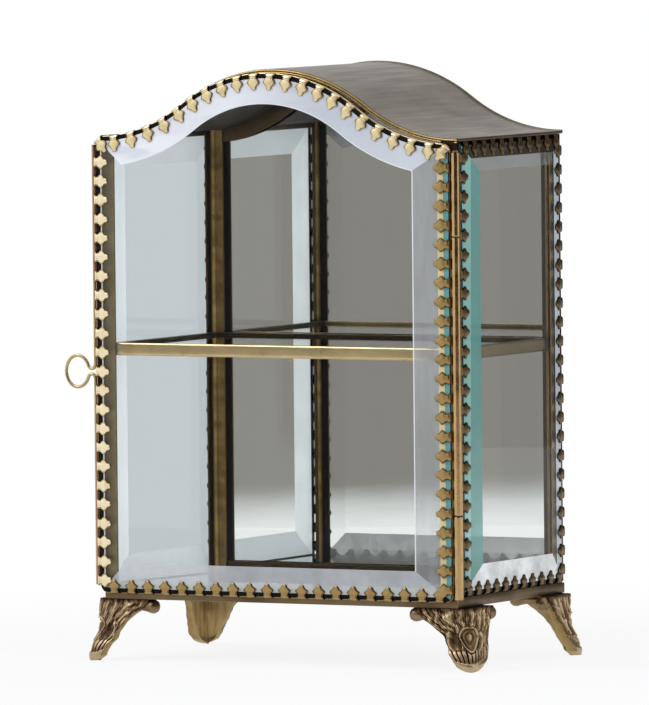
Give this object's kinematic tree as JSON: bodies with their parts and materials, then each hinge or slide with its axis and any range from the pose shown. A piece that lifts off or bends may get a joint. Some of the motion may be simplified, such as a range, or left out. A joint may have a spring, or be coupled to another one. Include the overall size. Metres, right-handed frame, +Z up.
{
  "type": "glass display case",
  "caption": "Arched tabletop display case: bevelled glass sides and hinged glass door in stamped brass edging, mirrored back and floor, and a glass shelf, on cast paw feet.",
  "frame": {"origin": "under the middle of the whole object's box, handle and toes included, on the surface that the feet stand on", "axes": "+Z up, the door faces -Y, and +X is to the right for someone who faces the door"},
  "size_m": [0.1954, 0.1062, 0.2516],
  "materials": {
    "stamped_brass": "antiqued gilt brass, dark in the recesses",
    "cast_brass": "aged bronze-brown casting with brighter high points",
    "bronze_sheet": "satin grey-bronze sheet",
    "solder_brass": "dull aged brass with a solder seam",
    "bright_brass": "polished brass",
    "wire_brass": "drawn brass wire",
    "clear_glass": "polished, with wide bevels and teal edges",
    "silvered_mirror": "silvered glass"
  },
  "bodies": {
    "case": {"left_trim_front": "stamped_brass", "left_trim_back": "stamped_brass", "left_trim_bottom": "stamped_brass", "left_trim_top": "stamped_brass", "right_trim_front": "stamped_brass", "right_trim_back": "stamped_brass", "right_trim_bottom": "stamped_brass", "right_trim_top": "stamped_brass", "back_trim_left": "stamped_brass", "back_trim_right": "stamped_brass", "back_trim_bottom": "stamped_brass", "back_trim_top": "stamped_brass", "foot_front_left": "cast_brass", "foot_front_right": "cast_brass", "foot_back_left": "cast_brass", "foot_back_right": "cast_brass", "base_tray": "bronze_sheet", "roof_sheet": "bronze_sheet", "back_plate": "bronze_sheet", "post_front_left": "solder_brass", "post_front_right": "solder_brass", "post_back_left": "solder_brass", "post_back_right": "solder_brass", "shelf_edge_front": "solder_brass", "shelf_edge_back": "solder_brass", "shelf_edge_left": "solder_brass", "shelf_edge_right": "solder_brass", "roof_bead_front": "bright_brass", "roof_bead_back": "bright_brass", "hinge_knuckle_top": "bright_brass", "hinge_knuckle_bottom": "bright_brass", "hinge_pin": "bright_brass", "left_glass": "clear_glass", "right_glass": "clear_glass", "shelf_glass": "clear_glass", "back_mirror": "silvered_mirror", "floor_mirror": "silvered_mirror"},
    "door": {"door_glass": "clear_glass", "door_trim_left": "stamped_brass", "door_trim_right": "stamped_brass", "door_trim_bottom": "stamped_brass", "door_trim_top": "stamped_brass", "door_handle": "wire_brass", "hinge_knuckle_door": "bright_brass"}
  },
  "joints": [
    {"name": "door_hinge", "type": "hinge", "parent": "case", "child": "door", "pos_m": [0.08976, -0.05055, 0.12335], "axis": [0, 0, 1], "range_deg": [0, 180]}
  ]
}
